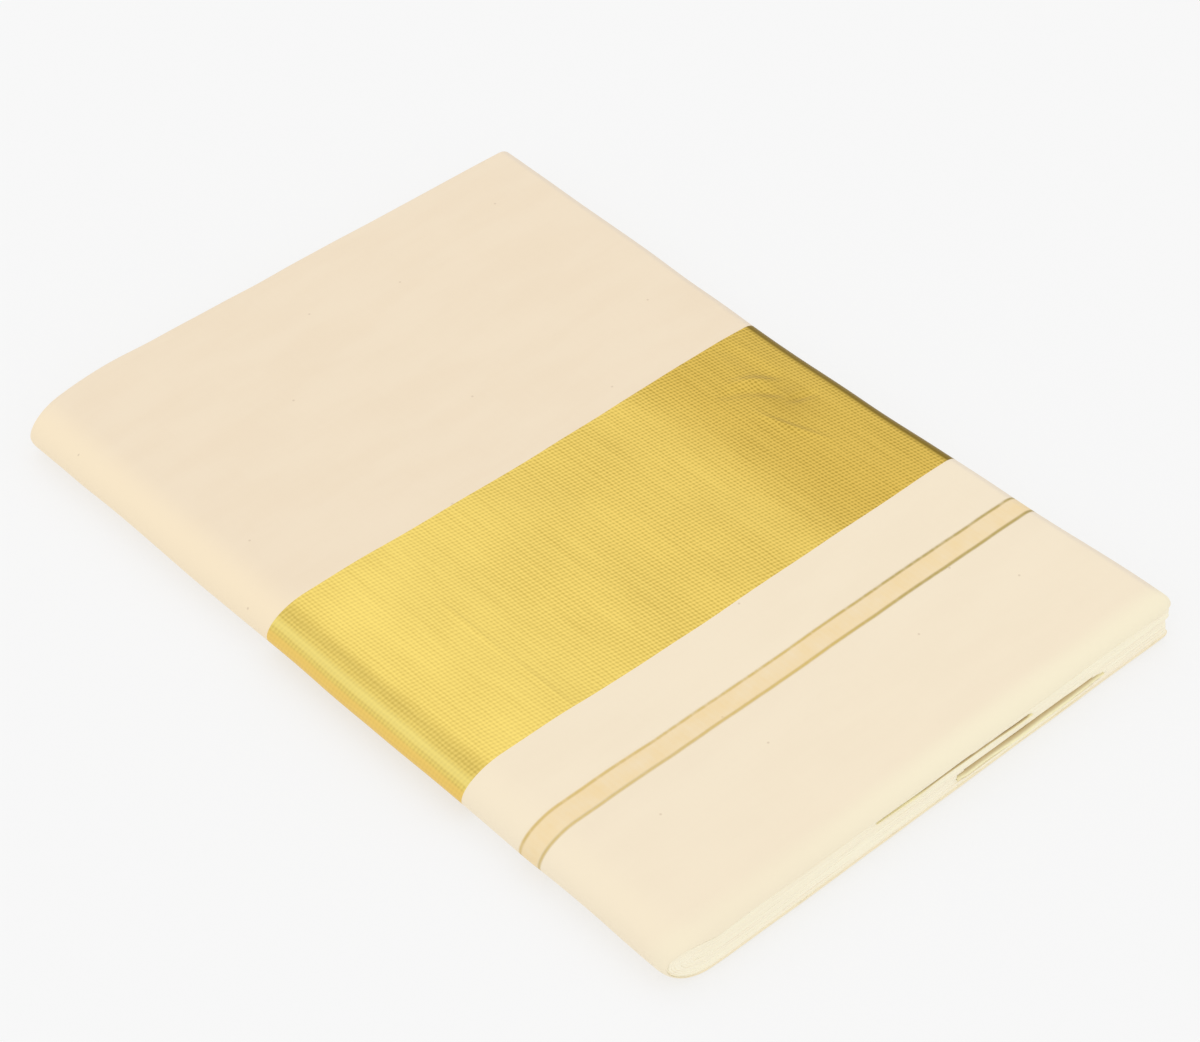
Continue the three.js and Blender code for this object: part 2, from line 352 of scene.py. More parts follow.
    def spine_arc(self, turn: Array) -> Array:
        """Length of the outermost cloth round the spine, from the top to a share of the way round.

        It adds up the short chords of half an ellipse.
        """
        steps = np.linspace(0.0, 1.0, ARC_POINTS)
        reach = self.spine_reach * np.sin(np.pi * steps)
        lift = self.mid_height * np.cos(np.pi * steps)
        chords = np.hypot(np.diff(reach), np.diff(lift))
        return np.interp(turn, steps, np.concatenate(([0.0], np.cumsum(chords))))

    def cloth_places(self, rounds: RoundLines, alongs: AlongLines) -> tuple[Array, Array]:
        """Places on the cloth itself, as lengths measured along it.

        On top, the length round the fold is the same as X. It goes on round the spine and back below, and
        over a roll it grows by the angle times the roll's mean radius, as the length along Y does.

        Args:
            rounds: grid lines round the fold.
            alongs: grid lines along Y.

        Returns:
            The lengths round the fold and along Y, one of each for every grid point.
        """
        place = rounds.place
        turn = np.clip((place - self.top_end) / self.spine_turn, 0.0, 1.0)
        top_share = np.clip(place / self.top_end, 0.0, 1.0)
        under_share = np.clip((place - 1.0 + self.top_end) / self.top_end, 0.0, 1.0)
        flat_right = self.flat_right(self.right_top)
        flat = blend(flat_right, self.spine_x, top_share) - (flat_right - self.spine_x) * under_share
        side = np.where(place < 0.5, 1.0, -1.0)
        roll = np.arcsin(np.clip(rounds.over, 0.0, 1.0)) * (self.right_top.reach + self.right_top.drop) / 2
        around = flat - self.spine_arc(turn) + side * roll

        front = -self.length / 2 + self.front_top.reach if alongs.start is None else alongs.start
        back = self.length / 2 - self.back_top.reach if alongs.stop is None else alongs.stop
        end_radius = (self.front_top.reach + self.front_top.drop) / 2
        end_roll = np.arcsin(np.clip(alongs.over, 0.0, 1.0)) * end_radius
        along = blend(front, back, alongs.share) + alongs.end * end_roll
        return np.meshgrid(around, along, indexing="ij")


@dataclass(frozen=True)
class GridPlan:
    """How finely the pad's grids are divided."""

    roll: int
    top: int
    spine: int
    under: int

    def roll_shares(self) -> Array:
        """How far over a roll each line lies, as the sines of even angles, from its end inwards."""
        return np.sin(np.linspace(np.pi / 2, 0.0, self.roll + 1))[:-1]

    def rounds(self, form: PadForm) -> RoundLines:
        """Lines from the open edge over the top, round the spine and back underneath.

        Args:
            form: the pad that they lie on.

        Returns:
            The lines, in order.
        """
        edge = self.roll_shares()
        place = np.concatenate(
            (
                np.zeros(edge.size),
                np.linspace(0.0, form.top_end, self.top + 1),
                np.linspace(form.top_end, 1.0 - form.top_end, self.spine + 1)[1:],
                np.linspace(1.0 - form.top_end, 1.0, self.under + 1)[1:],
                np.ones(edge.size),
            )
        )
        middle = np.zeros(self.top + self.spine + self.under + 1)
        return RoundLines(over=np.concatenate((edge, middle, edge[::-1])), place=place)

    def alongs(self, start: float | None, stop: float | None, steps: int) -> AlongLines:
        """Lines along Y, with those of a roll where the stretch ends at an end of the pad.

        Args:
            start, stop: where the stretch starts and stops, or None at an end of the pad.
            steps: how many steps its flat length has.

        Returns:
            The lines, in order.
        """
        edge = self.roll_shares()
        front = edge if start is None else edge[:0]
        back = edge[::-1] if stop is None else edge[:0]
        flat = np.linspace(0.0, 1.0, steps + 1)
        return AlongLines(
            over=np.concatenate((front, np.zeros(flat.size), back)),
            end=np.concatenate((-np.ones(front.size), np.zeros(flat.size), np.ones(back.size))),
            share=np.concatenate((np.zeros(front.size), flat, np.ones(back.size))),
            start=start,
            stop=stop,
        )


class Patch(NamedTuple):
    """A grid of points with its places on the cloth. flipped turns its faces the other way."""

    points: Array
    cloth: Array
    flipped: bool = False


class ClosedMesh:
    """Joins patches that share their edges into one closed mesh."""

    def __init__(self, name: str, patches: list[Patch]) -> None:
        """Welds the patches' points and keeps each face corner's place on the cloth."""
        self.name = name
        points, cloth, faces, first = [], [], [], 0
        for patch in patches:
            count = patch.points.shape[0] * patch.points.shape[1]
            numbers = np.arange(first, first + count).reshape(patch.points.shape[:2])
            faces.append(self._quads(numbers, patch.flipped))
            points.append(patch.points.reshape(-1, 3))
            cloth.append(patch.cloth.reshape(-1, 2))
            first += count
        corners = np.concatenate(faces)
        rounded = np.round(np.concatenate(points), WELD_DIGITS)
        self.points, numbers = np.unique(rounded, axis=0, return_inverse=True)
        self.faces = numbers.reshape(-1)[corners]
        self.cloth = np.concatenate(cloth)[corners]

    @staticmethod
    def _quads(numbers: Array, flipped: bool) -> Array:
        """The four corners of each grid cell, in the order that points its face outwards."""
        a, b, c, d = numbers[:-1, :-1], numbers[1:, :-1], numbers[1:, 1:], numbers[:-1, 1:]
        order = (a, b, c, d) if flipped else (a, d, c, b)
        return np.stack(order, axis=-1).reshape(-1, 4)

    def build(self) -> bpy.types.Object:
        """Makes the Blender object, smooth but for its sharp edges, with the cloth's own map."""
        mesh = bpy.data.meshes.new(self.name)
        mesh.vertices.add(len(self.points))
        mesh.vertices.foreach_set("co", self.points.astype(np.float32).ravel())
        mesh.loops.add(self.faces.size)
        mesh.loops.foreach_set("vertex_index", self.faces.astype(np.int32).ravel())
        mesh.polygons.add(len(self.faces))
        mesh.polygons.foreach_set("loop_start", np.arange(0, self.faces.size, 4, dtype=np.int32))
        mesh.polygons.foreach_set("use_smooth", np.ones(len(self.faces), dtype=bool))
        mesh.update(calc_edges=True)
        cloth_map = mesh.uv_layers.new(name=CLOTH_MAP)
        cloth_map.data.foreach_set("uv", self.cloth.astype(np.float32).ravel())
        mesh.set_sharp_from_angle(angle=SHARP_ANGLE)
        mesh.validate()
        piece = bpy.data.objects.new(self.name, mesh)
        bpy.context.scene.collection.objects.link(piece)
        return piece


def shell_patches(outer: Array, inner: Array, cloth: Array) -> list[Patch]:
    """The two sides of a wall and the rim round it.

    Args:
        outer, inner: the wall's two grids of points.
        cloth: each grid point's place on the cloth.

    Returns:
        Six patches that close on each other.
    """
    walls, places = np.stack((outer, inner)), np.stack((cloth, cloth))
    return [
        Patch(outer, cloth),
        Patch(inner, cloth, flipped=True),
        Patch(walls[:, 0], places[:, 0], flipped=True),
        Patch(walls[:, -1], places[:, -1]),
        Patch(walls[:, :, 0].swapaxes(0, 1), places[:, :, 0].swapaxes(0, 1)),
        Patch(walls[:, :, -1].swapaxes(0, 1), places[:, :, -1].swapaxes(0, 1), flipped=True),
    ]


class Band(NamedTuple):
    """A soft-edged stretch of a value, by its middle."""

    middle: float
    half: float
    soft: float


class Wire:
    """A node's output, on which Python's operators add Math nodes."""

    def __init__(self, shader: "Shader", socket: bpy.types.NodeSocket) -> None:
        """Keeps the shader that new nodes go to."""
        self.shader = shader
        self.socket = socket

    def _math(self, operation: str, *values: "Wire | float") -> "Wire":
        """Adds one Math node on the values."""
        return self.shader.node("ShaderNodeMath", {"operation": operation}, dict(enumerate(values)))

    def __add__(self, other: "Wire | float") -> "Wire":
        """Sum."""
        return self._math("ADD", self, other)

    def __radd__(self, other: float) -> "Wire":
        """Sum with a number first."""
        return self._math("ADD", other, self)

    def __sub__(self, other: "Wire | float") -> "Wire":
        """Difference."""
        return self._math("SUBTRACT", self, other)

    def __rsub__(self, other: float) -> "Wire":
        """Difference with a number first."""
        return self._math("SUBTRACT", other, self)

    def __mul__(self, other: "Wire | float") -> "Wire":
        """Product."""
        return self._math("MULTIPLY", self, other)

    def __rmul__(self, other: float) -> "Wire":
        """Product with a number first."""
        return self._math("MULTIPLY", other, self)

    def __abs__(self) -> "Wire":
        """Size without its sign."""
        return self._math("ABSOLUTE", self)

    def power_of_e(self) -> "Wire":
        """The number e raised to the value."""
        return self._math("EXPONENT", self)

    def wave(self, pitch: float) -> "Wire":
        """A sine wave of the value between 0 and 1, once in each pitch."""
        return self._math("SINE", self * (2.0 * math.pi / pitch)) * 0.5 + 0.5

    def larger(self, other: "Wire | float") -> "Wire":
        """The larger of the two."""
        return self._math("MAXIMUM", self, other)

    def scaled(self, low: float, high: float) -> "Wire":
        """Low where the value is 0 and high where it is 1."""
        return self * (high - low) + low

    def step(self, low: float, high: float) -> "Wire":
        """A smooth step from 0 at low to 1 at high. low may be the larger of the two."""
        if low > high:
            return 1.0 - self.step(high, low)
        sockets = {"Value": self, "From Min": low, "From Max": high}
        return self.shader.node("ShaderNodeMapRange", {"interpolation_type": "SMOOTHSTEP"}, sockets)

    def band(self, middle: float, half: float, soft: float) -> "Wire":
        """1 within half of the middle, and 0 beyond it, with a soft edge."""
        return abs(self - middle).step(half + soft / 2, half - soft / 2)


class Shader:
    """A node tree of a material or of the studio's light, to which any node is added by one method."""

    def __init__(self, tree: bpy.types.NodeTree) -> None:
        """Starts from an empty tree."""
        self.tree = tree
        tree.nodes.clear()

    def node(
        self, kind: str, settings: dict | None = None, sockets: dict | None = None, output: int = 0
    ) -> Wire:
        """Adds a node.

        Args:
            kind: the node's type.
            settings: its settings, which are set first.
            sockets: values or wires for its inputs, by name or number.
            output: which output is wanted.

        Returns:
            That output.
        """
        made = self.tree.nodes.new(kind)
        for name, value in (settings or {}).items():
            setattr(made, name, value)
        for name, value in (sockets or {}).items():
            if isinstance(value, Wire):
                self.tree.links.new(value.socket, made.inputs[name])
            else:
                made.inputs[name].default_value = value
        return Wire(self, made.outputs[output])

    def end(self, kind: str, surface: Wire) -> None:
        """Adds the tree's output node and links the surface to it."""
        self.tree.links.new(surface.socket, self.tree.nodes.new(kind).inputs["Surface"])

    def part(self, vector: Wire, axis: int) -> Wire:
        """One axis of a vector."""
        return self.node("ShaderNodeSeparateXYZ", {}, {0: vector}, output=axis)

    def cloth(self) -> tuple[Wire, Wire, Wire]:
        """The place on the cloth as a vector, and its lengths round the fold and along Y."""
        place = self.node("ShaderNodeUVMap", {"uv_map": CLOTH_MAP})
        return place, self.part(place, 0), self.part(place, 1)

    def object_place(self) -> Wire:
        """The place in the object's own coordinates."""
        return self.node("ShaderNodeTexCoord", {}, {}, output=3)

    def stretched(self, place: Wire, factors: Triple) -> Wire:
        """A place whose axes are multiplied by the factors, so that a small factor draws a noise out."""
        return self.node("ShaderNodeVectorMath", {"operation": "MULTIPLY"}, {0: place, 1: factors})

    def vector(self, x: Wire | float, y: Wire | float) -> Wire:
        """A flat vector of two values."""
        return self.node("ShaderNodeCombineXYZ", {}, {0: x, 1: y})

    def noise(self, place: Wire, size: float, detail: float = 2.0) -> Wire:
        """Soft noise about 0.5, with patches of about the size."""
        return self.node("ShaderNodeTexNoise", {}, {"Vector": place, "Scale": 1.0 / size, "Detail": detail})

    def mix(self, share: Wire | float, low: Wire | Colour, high: Wire | Colour) -> Wire:
        """A colour between low and high."""
        low, high = (value if isinstance(value, Wire) else (*value, 1.0) for value in (low, high))
        return self.node("ShaderNodeMix", {"data_type": "RGBA"}, {0: share, 6: low, 7: high}, output=2)

    def bump(self, height: Wire, depth: float) -> Wire:
        """A normal from a height between 0 and 1, where 1 stands for the depth."""
        return self.node("ShaderNodeBump", {}, {"Strength": 1.0, "Distance": depth, "Height": height})


@dataclass(frozen=True)
class Finish:
    """A finish: sockets of its shader that hold one value all over, and sockets that vary."""

    name: str
    fixed: ClassVar[dict[str, float]] = {}

    def dress(self, shader: Shader) -> dict[str, Wire]:
        """The sockets that vary: none, unless a finish says so."""
        return {}

    def material(self, more: dict[str, float | tuple] | None = None) -> bpy.types.Material:
        """Makes the material.

        Args:
            more: further sockets that hold one value all over, by name.

        Returns:
            The material.
        """
        material = bpy.data.materials.new(self.name)
        material.use_nodes = True
        shader = Shader(material.node_tree)
        sockets = {**self.fixed, **(more or {}), **self.dress(shader)}
        surface = shader.node("ShaderNodeBsdfPrincipled", {}, sockets)
        shader.end("ShaderNodeOutputMaterial", surface)
        return material


@dataclass(frozen=True)
class CottonFinish(Finish):
    """Plain unbleached cotton in a fine even weave, a little uneven in tone.

    Past the spine it takes a lighter colour, a painted highlight on the turn. On the open edge's roll it
    takes a greyer colour, painted shade where the roll turns away, and near the front end it can take a
    paler one, painted light on the front roll.
    """

    fixed: ClassVar[dict[str, float]] = {
        "Roughness": 0.92,
        "Sheen Weight": 0.12,
        "Sheen Roughness": 0.5,
        "Specular IOR Level": 0.25,
    }
    base: Colour = (0.881, 0.766, 0.586)
    shade: Colour = (0.868, 0.750, 0.571)
    # Painted highlight: a lighter colour past the spine, where the cloth turns round it.
    painted_spine_highlight: Colour = (0.896, 0.783, 0.592)
    # Painted light: a paler, yellower colour on the front roll, which faces the light.
    pale: Colour = (0.898, 0.818, 0.615)
    fleck: Colour = (0.610, 0.470, 0.330)
    # Painted shade: a greyer colour on the open edge's roll, where the cloth turns away from the light.
    rim: Colour = (0.700, 0.620, 0.540)
    thread: float = 0.00052
    grain: float = 0.004
    grain_share: float = 1.5
    weave_share: float = 0.4
    weave_depth: float = 0.00005
    patch: float = 0.018
    patch_stretch: float = 0.3
    patch_detail: float = 4.0
    patch_span: Span = (0.30, 0.70)
    patch_share: float = 0.6
    slub: float = 0.024
    slub_stretch: float = 12.0
    warp_share: float = 0.35
    weft_share: float = 0.25
    uneven_span: Span = (0.1, 1.0)
    painted_spine_highlight_span: Span = (-0.122, -0.138)
    painted_rim_shade_start: Span = (0.1352, 0.1380)
    painted_rim_shade_stop: Span = (0.1480, 0.1440)
    painted_rim_shade_share: float = 0.4
    painted_light_below: float | None = None
    painted_light_width: float = 0.006
    painted_light_span: Span = (-0.11, 0.02)
    painted_light_least: float = 0.5
    fleck_gap: float = 0.070
    fleck_span: Span = (0.0008, 0.0002)
    fleck_share: float = 0.55

    def tone(self, shader: Shader) -> Wire:
        """The cotton's colour: mottled, thin slubs along its threads, a few flecks, painted light and shade.
        """
        place, around, along = shader.cloth()
        broad = shader.vector(around * self.patch_stretch, along)
        mottle = shader.noise(broad, self.patch, self.patch_detail).step(*self.patch_span)
        warp = shader.noise(shader.vector(around * self.slub_stretch, along), self.slub)
        weft = shader.noise(shader.vector(around, along * self.slub_stretch), self.slub)
        uneven = mottle * self.patch_share + warp * self.warp_share + weft * self.weft_share
        colour = shader.mix(uneven.step(*self.uneven_span), self.shade, self.base)
        # Painted highlight past the spine.
        colour = shader.mix(around.step(*self.painted_spine_highlight_span), colour, self.painted_spine_highlight)
        # Painted shade on the open edge's roll.
        rim = around.step(*self.painted_rim_shade_start) * around.step(*self.painted_rim_shade_stop)
        colour = shader.mix(rim * self.painted_rim_shade_share, colour, self.rim)
        # Painted light on the front roll, fullest away from the spine.
        if self.painted_light_below is not None:
            edge = along.step(self.painted_light_below + self.painted_light_width, self.painted_light_below - self.painted_light_width)
            fuller = around.step(*self.painted_light_span).scaled(self.painted_light_least, 1.0)
            colour = shader.mix(edge * fuller, colour, self.pale)
        settings = {"voronoi_dimensions": "2D", "feature": "F1"}
        sockets = {"Vector": place, "Scale": 1.0 / self.fleck_gap}
        from_cell = shader.node("ShaderNodeTexVoronoi", settings, sockets) * self.fleck_gap
        return shader.mix(from_cell.step(*self.fleck_span) * self.fleck_share, colour, self.fleck)

    def dress(self, shader: Shader) -> dict[str, Wire]:
        """The tone, and the weave's height: threads that cross, which a fine noise makes uneven."""
        place, around, along = shader.cloth()
        threads = around.wave(self.thread) * along.wave(self.thread)
        height = (threads + shader.noise(place, self.grain) * self.grain_share) * self.weave_share
        return {"Base Color": self.tone(shader), "Normal": shader.bump(height, self.weave_depth)}


# Painted shade: darker copies of the cotton's colours for the back stretch, which lies further from the
# light.
PAINTED_SHADE_BACK_TONES: tuple[Colour, ...] = ((0.855, 0.725, 0.551), (0.840, 0.704, 0.528), (0.908, 0.768, 0.556))


@dataclass(frozen=True)
class LinedCottonFinish(Finish):
    """A narrow strip of cotton between two woven gold lines, painted darker away from the spine as shade."""

    fixed: ClassVar[dict[str, float]] = {"Sheen Weight": 0.08, "Specular IOR Level": 0.25}
    cotton: CottonFinish
    tinted: Colour = (0.862, 0.632, 0.285)
    gold: Colour = (0.640, 0.470, 0.150)
    # Painted shade: the gold lines darker away from the spine.
    painted_far_shade_gold: Colour = (0.480, 0.365, 0.120)
    painted_far_shade_span: Span = (0.0, 0.08)
    back_line: Band = Band(-0.1224, 0.000595, 0.0012)
    front_line: Band = Band(-0.1330, 0.00070, 0.0012)
    sway: float = 0.0009
    sway_size: float = 0.03
    spine_shift: float = 0.0008
    shift_span: Span = (-0.05, -0.095)
    worn_size: float = 0.0035
    worn_stretch: float = 0.1
    worn_span: Span = (0.28, 0.55)
    worn_least: float = 0.65
    front_worn_least: float = 0.7
    faint_span: Span = (-0.09, 0.03)
    faint_least: float = 0.82
    tint_soft: float = 0.001
    tint_patch: float = 0.010
    tint_range: Span = (0.20, 0.80)
    weft: float = 0.0028
    weft_share: float = 0.05
    weave_share: float = 0.3
    line_share: float = 0.7
    line_metal: float = 0.7
    rough: float = 0.92
    line_smooth: float = 0.5
    depth: float = 0.00012

    def dress(self, shader: Shader) -> dict[str, Wire]:
        """Gold lines that sway and thin out a little, on cotton that is tinted between them."""
        place, around, along = shader.cloth()
        swayed = along + (shader.noise(shader.vector(around, 0.0), self.sway_size) - 0.5) * self.sway
        swayed = swayed + around.step(*self.shift_span) * self.spine_shift
        worn = shader.noise(shader.vector(around, along * self.worn_stretch), self.worn_size)
        worn = worn.step(*self.worn_span).scaled(self.worn_least, 1.0)
        back = swayed.band(*self.back_line) * worn
        front = swayed.band(*self.front_line) * worn.scaled(self.front_worn_least, 1.0)
        line = back.larger(front) * around.step(*self.faint_span).scaled(self.faint_least, 1.0)
        middle = (self.back_line.middle + self.front_line.middle) / 2
        between = along.band(middle, self.back_line.middle - middle, self.tint_soft)
        tint = around.wave(self.weft) * self.weft_share
        tint = tint + shader.noise(place, self.tint_patch).scaled(*self.tint_range)
        ground = shader.mix(between * tint, self.cotton.tone(shader), self.tinted)
        threads = along.wave(self.cotton.thread) * around.wave(self.cotton.thread)
        # Painted shade on the gold lines away from the spine.
        gold = shader.mix(around.step(*self.painted_far_shade_span), self.gold, self.painted_far_shade_gold)
        return {
            "Base Color": shader.mix(line, ground, gold),
            "Metallic": line * self.line_metal,
            "Roughness": self.rough - line * self.line_smooth,
            "Normal": shader.bump(threads * self.weave_share + line * self.line_share, self.depth),
        }


@dataclass(frozen=True)
class GoldFinish(Finish):
    """Metallic gold thread woven close: a fine even cross-hatch, ribbed, painted brighter round the spine.
    """

    fixed: ClassVar[dict[str, float]] = {"Metallic": 0.85, "Specular IOR Level": 0.5}
    # Painted highlight on the weave's crests (bright) and painted shade in its hollows (deep).
    bright: Colour = (0.893, 0.700, 0.182)
    deep: Colour = (0.500, 0.338, 0.056)
    # Painted shade: duller, browner gold away from the spine, where the gold reflects less light.
    painted_far_shade_bright: Colour = (0.692, 0.474, 0.086)
    painted_far_shade_deep: Colour = (0.400, 0.265, 0.030)
    # Painted shade: a dark line on the open edge's roll, where the gold turns away.
    painted_edge_shade: Colour = (0.250, 0.155, 0.000)
    shine: Colour = (0.960, 0.800, 0.250)
    # Painted reflection: a more orange gold low round the spine's curve.
    painted_orange_reflection: Colour = (0.905, 0.605, 0.150)
    # Painted shade: darker gold over a creased patch near the open edge.
    painted_crease_shade: Colour = (0.330, 0.200, 0.020)
    pitch_round: float = 0.00175
    pitch_along: float = 0.00193
    slant: float = 0.22
    sway: float = 0.0011
    sway_size: float = 0.008
    grain: float = 0.0012
    thread_share: float = 0.32
    grain_share: float = 0.36
    patch: float = 0.045
    patch_span: Span = (0.3, 0.7)
    patch_share: float = 0.08
    # Where the painted shade away from the spine begins and grows.
    painted_far_shade_span: Span = (-0.12, 0.05)
    painted_far_shade_share: float = 0.42
    painted_farthest_shade_span: Span = (0.045, 0.090)
    painted_farthest_shade_share: float = 0.47
    # Painted sheen: streaks drawn out along Y, where the gold's sheen changes with the cloth's slope.
    streak: float = 0.0016
    streak_detail: float = 3.0
    streak_stretch: float = 0.04
    painted_sheen_streak_range: Span = (0.25, 0.60)
    painted_sheen_broad_streak: float = 0.030
    painted_sheen_broad_share: float = 0.20
    weave_range: Span = (0.6, 1.9)
    crest_level: float = 0.63
    # Painted shade: a darker stripe along the spine, with fine ribs in it.
    painted_shade_stripe: Band = Band(-0.1313, 0.0030, 0.003)
    rib_pitch: float = 0.0016
    rib_range: Span = (0.5, 1.1)
    painted_shade_stripe_share: float = 0.14
    painted_crease_shade_around: Band = Band(0.112, 0.010, 0.016)
    painted_crease_shade_along: Band = Band(-0.016, 0.012, 0.024)
    painted_crease_shade_share: float = 0.22
    painted_edge_shade_start: Span = (0.1343, 0.1361)
    painted_edge_shade_stop: Span = (0.1463, 0.1443)
    painted_edge_shade_share: float = 0.9
    painted_orange_reflection_start: Span = (-0.1412, -0.1432)
    painted_orange_reflection_stop: Span = (-0.180, -0.162)
    painted_orange_reflection_share: float = 0.7
    shine_band: Band = Band(-0.1383, 0.0018, 0.003)
    shine_share: float = 0.65
    rough_range: Span = (0.40, 0.48)
    weave_depth: float = 0.00006

    def weave(self, shader: Shader) -> Wire:
        """Height of the weave between 0 and 1: threads round the fold and slanting threads across them.

        Both waves are equally strong, and each is swayed by a slow noise. A fine grain is added.
        """
        place, around, along = shader.cloth()
        sway = (shader.noise(place, self.sway_size) - 0.5) * self.sway
        round_threads = (around + sway).wave(self.pitch_round)
        cross_threads = (along + around * self.slant - sway).wave(self.pitch_along)
        grain = shader.noise(place, self.grain, detail=1.0)
        return (round_threads + cross_threads) * self.thread_share + grain * self.grain_share

    def painted_crest_light(self, shader: Shader, weave: Wire, far: Wire) -> Wire:
        """Share of painted crest highlight, with patches, painted sheen streaks and ribbed painted shade."""
        place, around, along = shader.cloth()
        # The darker ribbed stripe along the spine: fine ribs in painted shade.
        ribbed_painted_shade = around.band(*self.painted_shade_stripe) * around.wave(self.rib_pitch).scaled(*self.rib_range)
        patches = shader.noise(place, self.patch).step(*self.patch_span) * self.patch_share
        # Painted sheen streaks along Y.
        drawn = shader.vector(around, along * self.streak_stretch)
        fine = shader.noise(drawn, self.streak, self.streak_detail) - 0.5
        broad = shader.noise(drawn, self.painted_sheen_broad_streak) - 0.5
        streaks = fine * far.scaled(*self.painted_sheen_streak_range) + broad * self.painted_sheen_broad_share
        raised = (weave - 0.5) * far.scaled(*self.weave_range)
        return (raised + patches + self.crest_level - ribbed_painted_shade * self.painted_shade_stripe_share + streaks).step(0.0, 1.0)

    def dress(self, shader: Shader) -> dict[str, Wire]:
        """Painted highlight on the weave's crests, painted shade in its hollows and far from the spine."""
        _, around, along = shader.cloth()
        weave = self.weave(shader)
        # Painted shade away from the spine, stronger near the open edge.
        far = around.step(*self.painted_far_shade_span) * self.painted_far_shade_share
        far = far + around.step(*self.painted_farthest_shade_span) * self.painted_farthest_shade_share
        painted_crest_light = self.painted_crest_light(shader, weave, far)
        # Painted highlight and shade of the weave, near the spine.
        near_colour = shader.mix(painted_crest_light, self.deep, self.bright)
        colour = shader.mix(far, near_colour, shader.mix(painted_crest_light, self.painted_far_shade_deep, self.painted_far_shade_bright))
        # Painted shade over the creased patch.
        painted_crease_shade_place = around.band(*self.painted_crease_shade_around) * along.band(*self.painted_crease_shade_along)
        # Painted shade on the open edge's roll.
        edge = around.step(*self.painted_edge_shade_start) * around.step(*self.painted_edge_shade_stop)
        # Painted reflection low round the spine.
        low = around.step(*self.painted_orange_reflection_start) * around.step(*self.painted_orange_reflection_stop)
        for place, share, tone in (
            (painted_crease_shade_place, self.painted_crease_shade_share, self.painted_crease_shade),
            (edge, self.painted_edge_shade_share, self.painted_edge_shade),
            (low, self.painted_orange_reflection_share, self.painted_orange_reflection),
            (around.band(*self.shine_band), self.shine_share, self.shine),
        ):
            colour = shader.mix(place * share, colour, tone)
        return {
            "Base Color": colour,
            "Roughness": weave.scaled(*self.rough_range),
            "Normal": shader.bump(weave, self.weave_depth),
        }


@dataclass(frozen=True)
class FoldedEdgeFinish(Finish):
    """Edges of many folded layers, pale and warmer streaks along them, lightened as painted light."""

    fixed: ClassVar[dict[str, float]] = {"Roughness": 0.93, "Specular IOR Level": 0.25}
    # Painted light: both colours are paler than the outer cloth, for the light on the pad's ends.
    pale: Colour = (0.945, 0.895, 0.715)
    warm: Colour = (0.925, 0.850, 0.680)
    stretch: Triple = (0.02, 0.02, 1.0)
    layer: float = 0.00128
    layer_span: Span = (0.35, 0.65)
    layer_share: float = 0.8
    thread: float = 0.00032
    thread_share: float = 0.2
    thread_depth: float = 0.00001

    def dress(self, shader: Shader) -> dict[str, Wire]:
        """Pale and warm layers by noise that is stretched along the edges."""
        flat = shader.stretched(shader.object_place(), self.stretch)
        layers = shader.noise(flat, self.layer, detail=1.0).step(*self.layer_span)
        threads = shader.noise(flat, self.thread, detail=1.0)
        share = layers * self.layer_share + threads * self.thread_share
        return {
            "Base Color": shader.mix(share, self.warm, self.pale),
            "Normal": shader.bump(threads, self.thread_depth),
        }


@dataclass(frozen=True)
class BorderFinish(Finish):
    """A folded gold border edge: painted shade where it turns into its groove, a painted reflection below.
    """

    fixed: ClassVar[dict[str, float]] = {"Metallic": 0.3, "Specular IOR Level": 0.4}
    turn_height: float
    turn_soft: float
    fall: float
    # Painted reflection: bright gold on the rounded nose below, lit by the floor.
    bright: Colour = (0.970, 0.910, 0.580)
    # Painted shade: brown where the edge turns into its groove.
    painted_groove_shade: Colour = (0.530, 0.395, 0.188)
    painted_groove_shade_share: float = 0.9
    stretch: Triple = (0.2, 1.0, 1.0)
    thread: float = 0.0007
    thread_share: float = 0.1
    thread_depth: float = 0.00008
    rough_range: Span = (0.4, 0.6)

    def dress(self, shader: Shader) -> dict[str, Wire]:
        """Painted shade above the turn's height, a painted reflection below, and a fine thread noise."""
        place = shader.object_place()
        height = shader.part(place, 2) + shader.part(place, 0) * self.fall
        # Painted groove shade above the turn.
        upper = height.step(self.turn_height - self.turn_soft / 2, self.turn_height + self.turn_soft / 2)
        threads = shader.noise(shader.stretched(place, self.stretch), self.thread, detail=1.0)
        share = upper * self.painted_groove_shade_share + threads * self.thread_share
        return {
            "Base Color": shader.mix(share, self.bright, self.painted_groove_shade),
            "Roughness": threads.scaled(*self.rough_range),
            "Normal": shader.bump(threads, self.thread_depth),
        }


